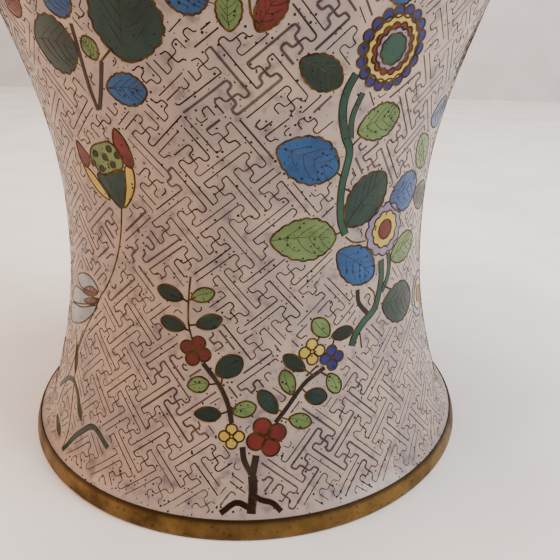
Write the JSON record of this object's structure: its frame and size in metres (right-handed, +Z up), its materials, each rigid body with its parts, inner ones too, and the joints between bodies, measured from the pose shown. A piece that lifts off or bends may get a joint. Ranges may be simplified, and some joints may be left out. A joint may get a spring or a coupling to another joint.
{
  "type": "cloisonne vase",
  "caption": "Baluster vase of enamelled copper with a spreading foot, waisted stem, broad shoulder and flared mouth, with brass rims.",
  "frame": {"origin": "centre of the foot's resting face, on the floor", "axes": "+Z up along the vase's axis, -Y towards the front of the decoration, +X to its right"},
  "size_m": [0.202, 0.202, 0.4005],
  "materials": {
    "blue_enamel": "opaque glossy enamel",
    "brown_enamel": "opaque enamel",
    "cobalt_enamel": "opaque glossy enamel",
    "copper": "dull hammered copper",
    "dark_green_enamel": "opaque glossy enamel",
    "gilt_brass": "worn gilt brass",
    "light_green_enamel": "opaque glossy enamel",
    "lilac_enamel": "opaque glossy enamel",
    "mid_green_enamel": "opaque glossy enamel",
    "red_enamel": "opaque glossy enamel",
    "turquoise_enamel": "opaque glossy enamel",
    "white_enamel": "opaque glossy enamel with fine pits",
    "yellow_enamel": "opaque glossy enamel"
  },
  "bodies": {
    "root": {"aster_heart": "red_enamel", "aster_petals": "lilac_enamel", "base_enamel": "turquoise_enamel", "base_plate": "copper", "daisy_heart": "mid_green_enamel", "daisy_petals": "cobalt_enamel", "foot_rim": "gilt_brass", "lotus_petals": "red_enamel", "lotus_pod": "light_green_enamel", "lower_body": "copper", "lower_ground_enamel": "white_enamel", "lower_inner_enamel": "turquoise_enamel", "mouth_rim": "gilt_brass", "neck": "copper", "neck_ground_enamel": "white_enamel", "neck_inner_enamel": "turquoise_enamel", "plant_blue_leaves": "blue_enamel", "plant_dark_leaves": "dark_green_enamel", "plant_light_leaves": "light_green_enamel", "plant_stems": "mid_green_enamel", "spray_blue_leaf": "blue_enamel", "spray_dark_leaves": "dark_green_enamel", "sprig_bark": "brown_enamel", "sprig_blue_blossom": "cobalt_enamel", "sprig_branch": "brown_enamel", "sprig_dark_leaves": "dark_green_enamel", "sprig_light_leaves": "light_green_enamel", "sprig_red_blossoms": "red_enamel", "sprig_yellow_blossoms": "yellow_enamel", "upper_body": "copper", "upper_ground_enamel": "white_enamel", "upper_inner_enamel": "turquoise_enamel"}
  },
  "joints": []
}
